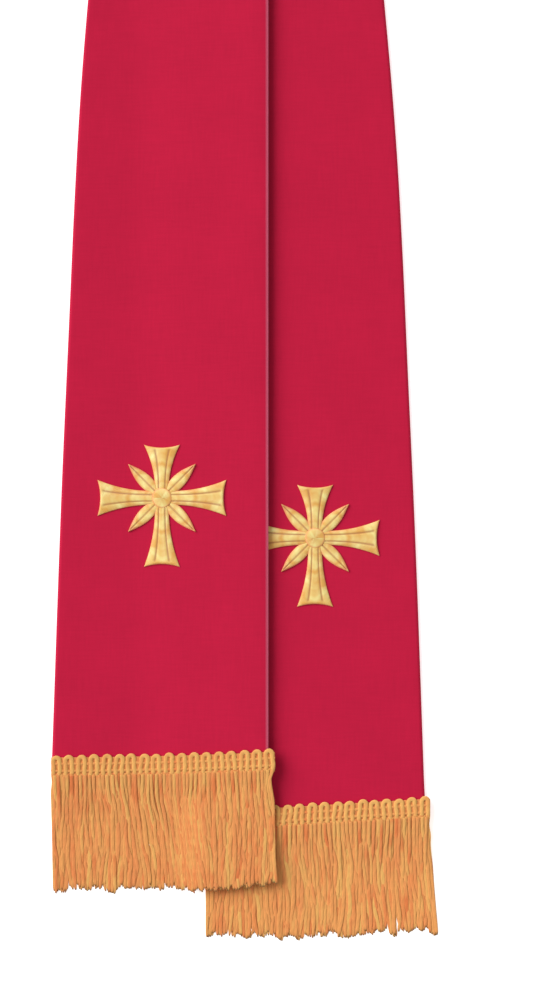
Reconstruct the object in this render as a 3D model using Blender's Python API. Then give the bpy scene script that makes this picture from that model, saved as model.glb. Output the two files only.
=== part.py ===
"""A clerical stole laid out flat: two tapered halves, each with a fringe and an embroidered cross.

Metres, +Z up. The stole lies on the plane Z = 0 with its neck towards +Y and its fringes towards -Y.
At the neck each half is folded under itself along a slanted line, so the short band that joins the
halves lies face down beneath them. Lower down the left half lies over the edge of the right one.
"""

import math
import random
from collections import namedtuple

import bmesh
import bpy
from mathutils import Vector

# Cloth: the stitched, interlined wall and its rolled edges
CLOTH = 0.0030
EDGE_ROUND = 0.0009
EDGE_FLAT = 0.0006
GAP = 0.0003

# A half in plan: its inner edge runs straight up from the hem, bends outwards a little, then is straight
OVERLAP = 0.0339
STRAIGHT_UP = 0.450
BEND_LENGTH = 0.650
LEAN = 0.120
RUN = 1.200
NECK_WIDTH = 0.070
BEND_RADIUS = BEND_LENGTH / LEAN

# The fold at the neck, and how the cloth climbs over what lies under it
FOLD_RADIUS = 0.0018
FOLD_STEPS = 6
BAND_CLIMB = 0.040
OVERLAP_CLIMB = 0.044
CLIMB_CLEAR = 0.002
ROW_STEP = 0.058
LAST_ROW_UP = 0.020
FLAT_SPANS = 5
CLIMB_SPANS = 4
BEYOND_SPANS = 3

# The fringe: a scalloped header sewn over the hem, and strands in an upper and a lower layer
LOOPS = 18
STRANDS_TO_A_LOOP = 3
HEADER_UP = 0.0078
HEADER_BELOW = 0.0010
HEADER_THICK = 0.0024
LOOP_RISE = 0.0026
FRINGE_LENGTH = 0.1276
STRAND_WIDTH = 0.0018
STRAND_HEIGHT = 0.00105
STRAND_TIP = 0.6
ROOT_INSET = 0.0003
LAYER_RISE = STRAND_HEIGHT + GAP
LEAVING_HEADER = 0.009
SETTLED_BY = 0.034
REST_ON_HEADER = CLOTH + HEADER_THICK + 2 * GAP
REST_ON_STRANDS = LAYER_RISE + STRAND_HEIGHT + 2 * GAP
STRAND_CLIMB = 0.018
STRAND_UNEVEN = 0.0008
CLUMP = 4
CLUMP_UNEVEN = 0.0016
STRAND_DRIFT = 0.00012

# The embroidered cross: four flared arms and four leaves between them, around a raised hub
EMBLEM_ACROSS = 0.0602
EMBLEM_EDGE = 0.0007
EMBLEM_RIDGE = 0.0012
EMBLEM_GAP = 0.00035
HUB_REACH = 0.0062
HUB_HALF = 0.0040
ARM_FLARE = 0.0062
ARM_NOTCH = 0.0016
LEAF_LENGTH = 0.0270
LEAF_HALF = 0.0038
LEAF_START = 0.2

# The left half rises over the arm of the right cross that it covers, then falls away up, down and across
OVER_EMBLEM = EMBLEM_GAP + EMBLEM_RIDGE
OVER_EMBLEM_HALF = HUB_HALF + ARM_FLARE + 0.003
OVER_EMBLEM_FALL = 0.026
EMBLEM_COLUMN = 0.4
CLEAR_COLUMN = 0.75

Station = namedtuple("Station", "up width")
WIDTHS = (
    Station(up=0.000, width=0.1229),
    Station(up=0.154, width=0.1174),
    Station(up=0.267, width=0.1124),
    Station(up=0.323, width=0.1099),
    Station(up=0.380, width=0.1067),
    Station(up=0.436, width=0.1023),
    Station(up=0.560, width=0.0907),
    Station(up=0.700, width=0.0785),
    Station(up=0.820, width=0.0718),
    Station(up=0.920, width=NECK_WIDTH),
    Station(up=1.300, width=NECK_WIDTH),
)

# After the neck fold the rows turn from the slant of its crease to square across the panel
Turning = namedtuple("Turning", "along slant")
TURNING_ROWS = (
    Turning(along=0.012, slant=1.0),
    Turning(along=0.024, slant=0.8),
    Turning(along=0.038, slant=0.5),
    Turning(along=0.052, slant=0.22),
    Turning(along=0.066, slant=0.0),
    Turning(along=0.078, slant=0.0),
    Turning(along=0.090, slant=0.0),
)

Half = namedtuple(
    "Half",
    "name side hem_y rise_inner rise_outer overhang strand_inner strand_outer lean flare emblem_up seed",
)
LEFT = Half(
    name="left",
    side=-1,
    hem_y=0.0,
    rise_inner=0.0038,
    rise_outer=0.0,
    overhang=0.0042,
    strand_inner=0.0650,
    strand_outer=0.0650,
    lean=-0.0012,
    flare=0.0,
    emblem_up=0.1555,
    seed=3,
)
RIGHT = Half(
    name="right",
    side=1,
    hem_y=-0.0308,
    rise_inner=0.0,
    rise_outer=0.0074,
    overhang=0.0018,
    strand_inner=0.0604,
    strand_outer=0.0650,
    lean=0.0,
    flare=0.0036,
    emblem_up=0.1637,
    seed=8,
)

# Waves that comb the strands aside: how far at the tips, turns across the fringe, turns down the strand
Wave = namedtuple("Wave", "size across down")
WAVES = (
    Wave(size=0.0008, across=11.0, down=2.6),
    Wave(size=0.0004, across=29.0, down=-1.9),
)

Arm = namedtuple("Arm", "turn reach")
ARMS = (
    Arm(turn=0.0, reach=0.0300),
    Arm(turn=90.0, reach=0.0365),
    Arm(turn=180.0, reach=0.0390),
    Arm(turn=270.0, reach=0.0365),
)
LIMB_SHARES = (0.3, 0.55, 0.8, 1.0)

Finish = namedtuple("Finish", "colour roughness metallic")
RED_CLOTH = Finish(colour=(0.54, 0.014, 0.054, 1.0), roughness=0.85, metallic=0.0)
GOLD_FRINGE = Finish(colour=(0.73, 0.29, 0.085, 1.0), roughness=0.6, metallic=0.0)
GOLD_THREAD = Finish(colour=(0.87, 0.60, 0.13, 1.0), roughness=0.4, metallic=0.0)

DOWN = Vector((0.0, 0.0, -1.0))
UP = Vector((0.0, 0.0, 1.0))


def smooth(share):
    """0 below 0, 1 above 1, and an S curve between."""
    share = min(max(share, 0.0), 1.0)
    return share * share * (3 - 2 * share)


def mix(start, end, share):
    return start + (end - start) * share


def width_at(up):
    """Width of a half at a distance up from its hem, by a smooth cubic through the stations."""
    up = min(max(up, WIDTHS[0].up), WIDTHS[-1].up)
    last = len(WIDTHS) - 2
    i = next((n for n in range(last) if up <= WIDTHS[n + 1].up), last)

    def slope(n):
        before, after = WIDTHS[max(n - 1, 0)], WIDTHS[min(n + 1, len(WIDTHS) - 1)]
        return (after.width - before.width) / (after.up - before.up)

    low, high = WIDTHS[i], WIDTHS[i + 1]
    span = high.up - low.up
    t = (up - low.up) / span
    return (
        low.width * (2 * t**3 - 3 * t**2 + 1)
        + high.width * (3 * t**2 - 2 * t**3)
        + span * (slope(i) * (t**3 - 2 * t**2 + t) + slope(i + 1) * (t**3 - t**2))
    )


def inner_edge(up):
    """Where a half's inner edge is: how far outwards and along it is, and how far it leans outwards."""
    lean = min(max(up - STRAIGHT_UP, 0.0), BEND_LENGTH) / BEND_RADIUS
    beyond = max(up - STRAIGHT_UP - BEND_LENGTH, 0.0)
    out = BEND_RADIUS * (1 - math.cos(lean)) + beyond * math.sin(lean)
    along = min(up, STRAIGHT_UP) + BEND_RADIUS * math.sin(lean) + beyond * math.cos(lean)
    return out, along, lean


def placed(half, out, along):
    """A half's own outward and upward measures as X and Y of the stole."""
    return half.side * (out - OVERLAP / 2), half.hem_y + along


def in_plan(half, up, across):
    """X and Y of the cloth at a distance up from the hem and across from the inner edge."""
    out, along, lean = inner_edge(up)
    return placed(half, out + across * math.cos(lean), along - across * math.sin(lean))


def run_of(half):
    """Length of a half's inner edge from the hem to the neck fold; both folds are level."""
    return RUN + (LEFT.hem_y - half.hem_y) / math.cos(LEAN)


# The neck fold: its crease halves the angle between the band and the panel, and OUT_OF_FOLD is square to it
FOLD_NORM = math.sqrt(2 - 2 * math.sin(LEAN))
OUT_OF_FOLD = Vector((math.cos(LEAN), 1 - math.sin(LEAN), 0.0)) / FOLD_NORM
CREASE_SLOPE = (1 - math.sin(LEAN)) / math.cos(LEAN)
FOLD_ARC = math.pi * FOLD_RADIUS


def fold_centre(half):
    """Where the neck band's centre line meets the fold, in the half's own outward and upward measures."""
    out, along, lean = inner_edge(run_of(half))
    middle = NECK_WIDTH / 2
    panel = Vector((out + middle * math.cos(lean), along - middle * math.sin(lean), 0.0))
    return panel - OUT_OF_FOLD * FOLD_ARC


def neck_line():
    """Y of the neck band's centre line."""
    return LEFT.hem_y + fold_centre(LEFT).y


def band_length(half):
    """Length of neck band on this side of the seam, so that both halves are cut to one length."""
    folds = sum(fold_centre(h).x - OVERLAP / 2 for h in (LEFT, RIGHT))
    other = RIGHT if half is LEFT else LEFT
    return (folds + run_of(other) - run_of(half)) / 2


def covered(up):
    """How far in from the left half's inner edge it lies over the right half, and a little more."""
    beneath = inner_edge(LEFT.hem_y + up - RIGHT.hem_y)[0]
    return max(OVERLAP - beneath - inner_edge(up)[0], 2 * CLIMB_CLEAR) + CLIMB_CLEAR


def over_emblem(x, y):
    """Extra height of the left half over the covered arm of the right cross."""
    up = y - LEFT.hem_y
    across = OVERLAP / 2 - x
    wide = covered(up)
    beside = 1 - smooth((across / wide - EMBLEM_COLUMN) / (CLEAR_COLUMN - EMBLEM_COLUMN))
    from_arm = abs(y - RIGHT.hem_y - RIGHT.emblem_up)
    return OVER_EMBLEM * beside * (1 - smooth((from_arm - OVER_EMBLEM_HALF) / OVER_EMBLEM_FALL))


def lift(half, x, y):
    """Height of a panel's underside: over the neck band, and for the left one over the right half."""
    top = neck_line() - NECK_WIDTH / 2 - CLIMB_CLEAR
    over_band = 2 * FOLD_RADIUS * smooth((y - top + BAND_CLIMB) / BAND_CLIMB)
    if half is RIGHT:
        return over_band
    edge_x = placed(RIGHT, inner_edge(y - RIGHT.hem_y)[0], 0.0)[0]
    share = smooth((x - edge_x + CLIMB_CLEAR + OVERLAP_CLIMB) / OVERLAP_CLIMB)
    return max(over_band, (CLOTH + GAP) * share + over_emblem(x, y))


def panel_point(half, up, across):
    """Middle of the cloth and its face normal on the panel, face up."""
    x, y = in_plan(half, up, across)
    return Vector((x, y, lift(half, x, y) + CLOTH / 2)), UP


def cloth_point(half, along, across):
    """Middle of the cloth and its face normal, by distance past the fold and across from the inner edge."""
    from_centre = across - NECK_WIDTH / 2
    past = (along * math.cos(LEAN) - from_centre * (1 - math.sin(LEAN))) / FOLD_NORM
    if past >= FOLD_ARC:
        return panel_point(half, run_of(half) - along, across)
    flat = fold_centre(half) + Vector((along, -from_centre, 0.0))
    normal = DOWN
    height = CLOTH / 2
    if past > 0:
        turn = past / FOLD_RADIUS
        flat += OUT_OF_FOLD * (FOLD_RADIUS * math.sin(turn) - past)
        height += FOLD_RADIUS * (1 - math.cos(turn))
        normal = OUT_OF_FOLD * math.sin(turn) - UP * math.cos(turn)
    x, y = placed(half, flat.x, flat.y)
    return Vector((x, y, height)), Vector((half.side * normal.x, normal.y, normal.z))


def columns(half, up):
    """Distances across a half at which its cloth has points; on the left they follow the edge it climbs."""
    last = width_at(up) - EDGE_ROUND
    if half is RIGHT:
        return [mix(EDGE_ROUND, last, n / FLAT_SPANS) for n in range(FLAT_SPANS + 1)]
    wide = covered(up)
    climb = [wide + OVERLAP_CLIMB * n / CLIMB_SPANS for n in range(CLIMB_SPANS + 1)]
    beyond = [mix(climb[-1], last, n / BEYOND_SPANS) for n in range(1, BEYOND_SPANS + 1)]
    return [EDGE_ROUND, wide * EMBLEM_COLUMN, wide * CLEAR_COLUMN, *climb, *beyond]


def ring(half, line):
    """Points round the wall along a line of (along, across): face, outer edge, back, inner edge."""
    face, back = [], []
    for along, across in line:
        middle, normal = cloth_point(half, along, across)
        face.append(middle + normal * CLOTH / 2)
        back.append(middle - normal * CLOTH / 2)
    edges = []
    for (along, across), away in ((line[-1], EDGE_ROUND), (line[0], -EDGE_ROUND)):
        middle, normal = cloth_point(half, along, across + away)
        edges.append((middle + normal * EDGE_FLAT, middle - normal * EDGE_FLAT))
    outer, inner = edges
    return [*face, outer[0], outer[1], *reversed(back), inner[1], inner[0]]


def hem_rise(half, share):
    """How far the hem is drawn up, by the share of the width from the inner edge."""
    return half.rise_inner * (1 - share) ** 2 + half.rise_outer * share


def cloth_rows(half):
    """Rows of (along, skew) from the seam to the hem; a skewed row lies along the crease of the fold."""
    seam = -(band_length(half) - GAP / 2)
    rows = [(seam, 0.0), (seam / 2, CREASE_SLOPE / 2)]
    for n in range(FOLD_STEPS + 1):
        past = FOLD_ARC * n / FOLD_STEPS
        rows.append((past * FOLD_NORM / math.cos(LEAN), CREASE_SLOPE))
    rows += [(row.along, CREASE_SLOPE * row.slant) for row in TURNING_ROWS]
    stops = [run_of(half) - LAST_ROW_UP]
    if half is LEFT:
        arm = run_of(half) + LEFT.hem_y - RIGHT.hem_y - RIGHT.emblem_up
        steps = [OVER_EMBLEM_HALF + OVER_EMBLEM_FALL * n / 2 for n in (0, 1, 2)]
        stops = [*(arm - step for step in reversed(steps)), *(arm + step for step in steps), *stops]
    for stop in stops:
        start = rows[-1][0]
        count = math.ceil((stop - start) / ROW_STEP)
        rows += [(mix(start, stop, n / count), 0.0) for n in range(1, count + 1)]
    return rows


def wall(name, rings, width, finish):
    """One closed wall lofted through rings whose first `width` points are the face; both ends are filled."""
    mesh = bmesh.new()
    points = [[mesh.verts.new(p) for p in points] for points in rings]
    count = len(points[0])
    for before, after in zip(points, points[1:]):
        for i in range(count):
            j = (i + 1) % count
            mesh.faces.new((before[i], before[j], after[j], after[i]))
    for end in (points[0], points[-1]):
        face, back = end[:width], list(reversed(end[width + 2 : 2 * width + 2]))
        for i in range(width - 1):
            mesh.faces.new((face[i], face[i + 1], back[i + 1], back[i]))
        mesh.faces.new((face[-1], end[width], end[width + 1], back[-1]))
        mesh.faces.new((face[0], end[-1], end[-2], back[0]))
    return finished(name, mesh, finish)


def finished(name, mesh, finish):
    """Makes the object from its mesh, with its faces outwards, and gives it its material."""
    bmesh.ops.recalc_face_normals(mesh, faces=mesh.faces)
    data = bpy.data.meshes.new(name)
    mesh.to_mesh(data)
    mesh.free()
    data.shade_smooth()
    data.set_sharp_from_angle(angle=math.radians(35))
    data.materials.append(finish)
    thing = bpy.data.objects.new(name, data)
    bpy.context.scene.collection.objects.link(thing)
    return thing


def make_half(half, finish):
    """One half of the stole, from the seam behind the neck to its hem."""
    rings = []
    for along, skew in cloth_rows(half):
        across = columns(half, run_of(half) - max(along, 0.0))
        middle = NECK_WIDTH / 2
        rings.append(ring(half, [(along + skew * (a - middle), a) for a in across]))
    across = columns(half, 0.0)
    hem = [(run_of(half) - hem_rise(half, a / width_at(0.0)), a) for a in across]
    rings.append(ring(half, hem))
    return wall(f"{half.name}_half", rings, len(across), finish)


def header_point(half, across, above_hem, height):
    """A point of the fringe's header, by its height over the cloth's face."""
    share = min(max(across / width_at(0.0), 0.0), 1.0)
    x, y = in_plan(half, hem_rise(half, share) + above_hem, across)
    return Vector((x, y, lift(half, x, y) + CLOTH + GAP + height))


def strand_length(half, share):
    """From the header to the strands' tips: the two ends differ, so that the tips lie more level than the hem."""
    return half.strand_outer - (half.strand_outer - half.strand_inner) * (1 - share) ** 2


def rest_height(half, x, down):
    """Height of what a strand lies on: the floor or, on the left, the right header and strands."""
    if half is RIGHT:
        return GAP
    edge = -OVERLAP / 2 - RIGHT.overhang - 2 * STRAND_WIDTH
    past_header = smooth((down - SETTLED_BY) / (half.strand_inner - SETTLED_BY))
    over = mix(REST_ON_HEADER, REST_ON_STRANDS, past_header)
    return mix(GAP, over, smooth((x - edge + STRAND_CLIMB) / STRAND_CLIMB))


def combed(half, share, down):
    """How far outwards a strand is combed, by its place across and how far down: alike for neighbours."""
    fall = down / strand_length(half, share)
    waves = sum(w.size * math.sin(w.across * share + w.down * fall + half.seed) for w in WAVES)
    return fall * (waves + half.lean) + half.flare * share**3 * fall**1.5


def strand_rings(half, root, share, layer, length, drift):
    """Square rings down one strand, from below its root to its tip."""
    centre = sum(root, Vector()) / 4
    outwards = Vector((half.side, 0.0, 0.0))
    rings = []
    for down in (LEAVING_HEADER, SETTLED_BY, length):
        drifted = drift * down / strand_length(half, share)
        middle = centre + outwards * (combed(half, share, down) + drifted)
        middle.y -= down
        rest = rest_height(half, middle.x, down) + STRAND_HEIGHT / 2 + layer * LAYER_RISE
        middle.z = mix(max(centre.z, rest), rest, smooth(down / SETTLED_BY))
        size = STRAND_TIP if down == length else 1.0
        side = outwards * STRAND_WIDTH * size / 2
        rise = UP * STRAND_HEIGHT * size / 2
        rings.append([middle - side - rise, middle + side - rise, middle + side + rise, middle - side + rise])
    return rings


def make_fringe(half, finish):
    """A fringe: the scalloped header, and from each cell of its lower end one strand."""
    mesh = bmesh.new()
    made = {}

    def vert(key, point):
        if key not in made:
            made[key] = mesh.verts.new(point)
        return made[key]

    count = LOOPS * STRANDS_TO_A_LOOP
    levels = (0.0, HEADER_THICK / 2, HEADER_THICK)

    def low(i, level):
        across = FRINGE_LENGTH * i / count - half.overhang
        return vert(("low", i, level), header_point(half, across, -HEADER_BELOW, levels[level]))

    def scallop(j, level):
        across = FRINGE_LENGTH * j / (2 * count) - half.overhang
        rise = LOOP_RISE * abs(math.sin(math.pi * j / (2 * STRANDS_TO_A_LOOP)))
        return vert(("scallop", j, level), header_point(half, across, HEADER_UP + rise, levels[level]))

    for i in range(count):
        for level in (0, 2):
            crest = [scallop(j, level) for j in (2 * i + 2, 2 * i + 1, 2 * i)]
            mesh.faces.new([low(i, level), low(i + 1, level), *crest])
    for j in range(2 * count):
        mesh.faces.new([scallop(j, 0), scallop(j + 1, 0), scallop(j + 1, 2), scallop(j, 2)])
    for i, j in ((0, 0), (count, 2 * count)):
        mesh.faces.new([low(i, 0), low(i, 1), low(i, 2), scallop(j, 2), scallop(j, 0)])

    chance = random.Random(half.seed)
    clumps = [chance.uniform(-CLUMP_UNEVEN, CLUMP_UNEVEN) for _ in range(count // CLUMP + 2)]
    for i in range(count):
        clump = mix(clumps[i // CLUMP], clumps[i // CLUMP + 1], (i % CLUMP) / CLUMP)
        for layer in (0, 1):
            cell = [low(i, layer), low(i + 1, layer), low(i + 1, layer + 1), low(i, layer + 1)]
            middle = sum((v.co for v in cell), Vector()) / 4
            inset = [v.co + (middle - v.co).normalized() * ROOT_INSET for v in cell]
            share = (i + 0.5) / count
            length = strand_length(half, share) + clump + chance.uniform(-STRAND_UNEVEN, STRAND_UNEVEN)
            drift = chance.uniform(-STRAND_DRIFT, STRAND_DRIFT) + layer * FRINGE_LENGTH / count / 2
            rings = [cell, [mesh.verts.new(p) for p in inset]]
            for points in strand_rings(half, inset, share, layer, length, drift):
                rings.append([mesh.verts.new(p) for p in points])
            for before, after in zip(rings, rings[1:]):
                for a in range(4):
                    b = (a + 1) % 4
                    mesh.faces.new((before[a], before[b], after[b], after[a]))
            mesh.faces.new(rings[-1])
    return finished(f"{half.name}_fringe", mesh, finish)


def directions(turn):
    """Along a limb turned this many degrees clockwise from straight up, and aside to its right."""
    angle = math.radians(turn)
    return Vector((math.sin(angle), math.cos(angle))), Vector((math.cos(angle), -math.sin(angle)))


def limb_sections(turn, reach, half_width):
    """Left, ridge and right points along one limb in the emblem's plane, after its root at the hub."""
    along, aside = directions(turn)
    sections = []
    for share in LIMB_SHARES:
        distance = mix(HUB_REACH, reach, share)
        wide = half_width(share)
        ridge = distance - (ARM_NOTCH if share == 1.0 and wide > 0 else 0.0)
        sections.append((along * distance - aside * wide, along * ridge, along * distance + aside * wide))
    return sections


def arm_half(share):
    return HUB_HALF + ARM_FLARE * share**2


def leaf_half(share):
    return LEAF_HALF * math.sin(math.pi * mix(LEAF_START, 1.0, share)) if share < 1 else 0.0


def make_emblem(half, finish):
    """The embroidered cross, one raised body laid on the face of the cloth."""
    mesh = bmesh.new()
    made = {}

    def point(flat, height, key):
        if key not in made:
            x, y = in_plan(half, half.emblem_up + flat.y, EMBLEM_ACROSS + flat.x)
            z = lift(half, x, y) + CLOTH + EMBLEM_GAP + height
            made[key] = mesh.verts.new((x, y, z))
        return made[key]

    hub = []
    for arm in ARMS:
        along, aside = directions(arm.turn)
        hub += [along * HUB_REACH - aside * HUB_HALF, along * HUB_REACH + aside * HUB_HALF]
    limbs = []
    for n, arm in enumerate(ARMS):
        limbs.append((2 * n, 2 * n + 1, limb_sections(arm.turn, arm.reach, arm_half)))
        limbs.append((2 * n + 1, (2 * n + 2) % 8, limb_sections(arm.turn + 45, LEAF_LENGTH, leaf_half)))

    peak = point(Vector((0.0, 0.0)), EMBLEM_RIDGE, "peak")
    foot = point(Vector((0.0, 0.0)), 0.0, "foot")
    for number, (first, second, sections) in enumerate(limbs):
        ridge = point((hub[first] + hub[second]) / 2, EMBLEM_RIDGE, ("hub ridge", number))
        corners = [point(hub[k], EMBLEM_EDGE, ("hub top", k)) for k in (first, second)]
        feet = [point(hub[k], 0.0, ("hub foot", k)) for k in (first, second)]
        mesh.faces.new((peak, corners[0], ridge))
        mesh.faces.new((peak, ridge, corners[1]))
        mesh.faces.new((foot, feet[1], feet[0]))
        for n, section in enumerate(sections):
            pointed = section[0] == section[2]
            sides = (0, 0) if pointed else (0, 2)
            next_ridge = None if pointed else point(section[1], EMBLEM_RIDGE, (number, n, "ridge"))
            next_corners = [point(section[k], EMBLEM_EDGE, (number, n, k, "top")) for k in sides]
            next_feet = [point(section[k], 0.0, (number, n, k, "foot")) for k in sides]
            if pointed:
                mesh.faces.new((corners[0], next_corners[0], ridge))
                mesh.faces.new((ridge, next_corners[0], corners[1]))
                mesh.faces.new((feet[0], feet[1], next_feet[0]))
            else:
                mesh.faces.new((corners[0], next_corners[0], next_ridge, ridge))
                mesh.faces.new((ridge, next_ridge, next_corners[1], corners[1]))
                mesh.faces.new((feet[0], feet[1], next_feet[1], next_feet[0]))
            mesh.faces.new((corners[0], feet[0], next_feet[0], next_corners[0]))
            mesh.faces.new((corners[1], next_corners[1], next_feet[1], feet[1]))
            ridge, corners, feet = next_ridge, next_corners, next_feet
        if ridge is not None:
            mesh.faces.new((corners[0], feet[0], feet[1], corners[1], ridge))
    return finished(f"{half.name}_emblem", mesh, finish)


def material(name, finish):
    made = bpy.data.materials.new(name)
    made.use_nodes = True
    shader = made.node_tree.nodes["Principled BSDF"]
    shader.inputs["Base Color"].default_value = finish.colour
    shader.inputs["Roughness"].default_value = finish.roughness
    shader.inputs["Metallic"].default_value = finish.metallic
    return made


def stand_on_origin(things):
    """Moves every mesh so that the origin is under the middle of the whole stole's box."""
    corners = [v.co for thing in things for v in thing.data.vertices]
    middle = Vector(
        ((min(c[k] for c in corners) + max(c[k] for c in corners)) / 2 for k in (0, 1))
    ).to_3d()
    for thing in things:
        for v in thing.data.vertices:
            v.co -= middle


def main():
    for thing in list(bpy.data.objects):
        bpy.data.objects.remove(thing)
    cloth = material("red_cloth", RED_CLOTH)
    fringe = material("gold_fringe", GOLD_FRINGE)
    thread = material("gold_thread", GOLD_THREAD)
    things = []
    for half in (LEFT, RIGHT):
        things.append(make_half(half, cloth))
        things.append(make_fringe(half, fringe))
        things.append(make_emblem(half, thread))
    stand_on_origin(things)


main()
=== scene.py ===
"""Dresses a clerical stole that lies flat: its cloth, its fringes, its embroidered crosses and the stage.

Metres throughout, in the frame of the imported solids: +Z up from the surface, +Y towards the neck.
"""

import math
from collections import namedtuple

import bpy
import numpy as np
from bpy.props import FloatProperty, FloatVectorProperty, IntProperty, PointerProperty
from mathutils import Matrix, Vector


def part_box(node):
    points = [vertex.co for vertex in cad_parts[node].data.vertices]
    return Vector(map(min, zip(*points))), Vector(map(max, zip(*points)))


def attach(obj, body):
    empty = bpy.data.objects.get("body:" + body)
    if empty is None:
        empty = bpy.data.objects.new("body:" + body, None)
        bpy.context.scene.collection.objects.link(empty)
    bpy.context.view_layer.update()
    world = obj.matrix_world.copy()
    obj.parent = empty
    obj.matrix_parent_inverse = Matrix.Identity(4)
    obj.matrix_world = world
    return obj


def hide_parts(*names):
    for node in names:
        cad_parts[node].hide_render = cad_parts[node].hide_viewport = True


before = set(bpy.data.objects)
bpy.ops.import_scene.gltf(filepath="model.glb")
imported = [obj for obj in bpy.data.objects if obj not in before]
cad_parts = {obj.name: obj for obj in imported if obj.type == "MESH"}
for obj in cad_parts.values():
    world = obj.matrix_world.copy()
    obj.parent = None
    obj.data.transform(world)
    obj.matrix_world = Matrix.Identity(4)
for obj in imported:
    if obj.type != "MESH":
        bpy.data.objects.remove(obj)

bl_info = {
    "name": "Clerical stole",
    "version": (1, 0, 0),
    "blender": (4, 5, 0),
    "location": "3D View > Sidebar > Stole",
    "description": "Lays out a fringed and embroidered stole on a pale surface",
    "category": "Object",
}

# The cut and the lie of the cloth, as in the solids
CLOTH = 0.0030
GAP = 0.0003
OVERLAP = 0.0339
STRAIGHT_UP = 0.450
BEND_LENGTH = 0.650
LEAN = 0.120
RUN = 1.200
NECK_WIDTH = 0.070
BEND_RADIUS = BEND_LENGTH / LEAN
FOLD_RADIUS = 0.0018
FOLD_ARC = math.pi * FOLD_RADIUS
FOLD_NORM = math.sqrt(2 - 2 * math.sin(LEAN))
CREASE_SLOPE = (1 - math.sin(LEAN)) / math.cos(LEAN)
OUT_OF_FOLD = np.array([math.cos(LEAN), 1 - math.sin(LEAN)]) / FOLD_NORM
BAND_CLIMB = 0.040
OVERLAP_CLIMB = 0.044
CLIMB_CLEAR = 0.002
EDGE_CURL = 0.0026
CURL_WIDTH = 0.046
CURL_FADES_AT = 0.45
CURL_FADE = 0.15

# The fringe's header and where the strands come to rest
LOOPS = 18
HEADER_UP = 0.0078
HEADER_THICK = 0.0024
LOOP_RISE = 0.0026
FRINGE_LENGTH = 0.1276
SETTLED_BY = 0.034
STRAND_CLIMB = 0.018
LEG_START = -0.0004
LEAVING_HEADER = 0.0045
STRANDS_HEAP = 0.0054
PAST_HEADER = 0.030
PINCHED_BY = 0.07
PINCH_EASES = 0.25
PINCH_KEPT = 0.35
SINK = 0.00012
LOOP_SQUASH = 1.65
BINDING_ROWS = (0.0053, 0.0013)
BINDING_HEIGHT = 0.0007
BINDING_WAVE = 0.00015
TAPE_RISES = (-0.0022, 0.0088)
TAPE_HEIGHTS = (0.0004, 0.0008, 0.0008, 0.0006, 0.00005, 0.0, 0.0, 0.00005)
TAPE_INSET = 0.0006
LOOP_SWAY = 0.00045
LOOP_UNEVEN = 0.0005
LEG_SHARE = 1.1
STRANDS_INSET = 0.0012
# The last field of a layer is its share of a redder gold, painted shade for the strands that lie beneath.
Layer = namedtuple("Layer", "count height share start depth")
STRAND_LAYERS = (
    Layer(count=50, height=0.00125, share=1.0, start=-0.0012, depth=0.1),
    Layer(count=62, height=0.00110, share=0.95, start=-0.0004, depth=0.3),
    Layer(count=72, height=0.00090, share=1.20, start=-0.0002, depth=0.55),
)

# How the strands wander, draw together, end and settle
COMMON_WAVE = 0.0012
COMMON_RIPPLE = 0.0007
OWN_WAVE = 0.00070
OWN_RIPPLE = 0.00035
OWN_SPREAD = 0.0010
GATHER = 0.20
GATHERS_FROM = 0.84
GATHER_EASES = 0.16
BELOW_HEM = 0.0022
CLUMP_NOTCH = 0.0026
CLUMP_UNEVEN = 0.0016
STRAND_UNEVEN = 0.0006
STRAND_BULGE = 0.05
BULGE_RATE = 34
TIP_THINNER = 0.20
TIP_LENGTH = 0.0024
TIP_KEPT = 0.45
TIP_DARK_FROM = 0.972
TIP_DARK_EASES = 0.028
SETTLE_ROUNDS = 12
SETTLE_REACH = 0.94
SETTLE_PUSH = 0.30
SETTLE_PULL = 0.10
SMOOTHINGS = 3

# The rows of the cloth's grid and the relief of its face
END_ROWS = np.array([0.0, 0.00020, 0.0006, 0.0012, 0.0030])
END_ROUND = 0.0012
END_THIN = 0.06
ROWS_CLEAR = 0.005
BAND_ROWS = 18
BAND_TO = -0.002
FOLD_ROWS = 15
TURNING_FROM = 0.0090
TURNING_TO = 0.082
TURNING_STEP = 0.003
PANEL_FROM = 0.084
PANEL_ROWS = 280
SLANT_FADES_AT = 0.010
SLANT_FADE = 0.070
HEM_FADE = 0.030
TURNED_IN = 0.0105
TURNED_EASES = 0.002
TURNED_RELIEF = 0.00007
PUCKER_STEP = 0.0021
PUCKER_SWAY = 0.013
PUCKER_FADE = 0.003
PUCKER_RELIEF = 0.00002
SHORT_WAVE = 0.026
LONG_WAVE = 0.041
WAVE_RELIEF = 0.00005

# The embroidered cross
EMBLEM_ACROSS = 0.0602
EMBLEM_GAP = 0.00035
EMBLEM_RIDGE = 0.0012
HUB_HALF = 0.0040
ARM_FLARE = 0.0062
ARM_NOTCH = 0.0016
LEAF_LENGTH = 0.0270
LEAF_HALF = 0.0038
LEAF_START = 0.2
OVER_EMBLEM = EMBLEM_GAP + EMBLEM_RIDGE
OVER_EMBLEM_HALF = HUB_HALF + ARM_FLARE + 0.003
OVER_EMBLEM_FALL = 0.026
EMBLEM_COLUMN = 0.4
CLEAR_COLUMN = 0.75
LIMB_ROWS = 60
LIMB_POINTS = 24
LIMB_BASE = 0.00015
LIMB_EDGE = 0.0003
ARM_RISE = 0.00105
ARM_WAIST = 0.18
ARM_VEINS = (-0.46, 0.46)
LEAF_RISE = 0.00085
LEAF_VEINS = (0.0,)
GROOVE_HALF = 0.00034
GROOVE_DEPTH = 0.38
STITCH_SLANT = 0.45
# Width of the painted shade along a limb's sides
PAINTED_EDGE_BAND = 0.0014
BOSS_SIDES = 48
BOSS_EDGE = 0.0014
BOSS_RISE = 0.0007
BOSS_BASE = 0.0002

FLOOR_HALF = 20.0
FLOOR_LEVEL = -0.0002

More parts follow.
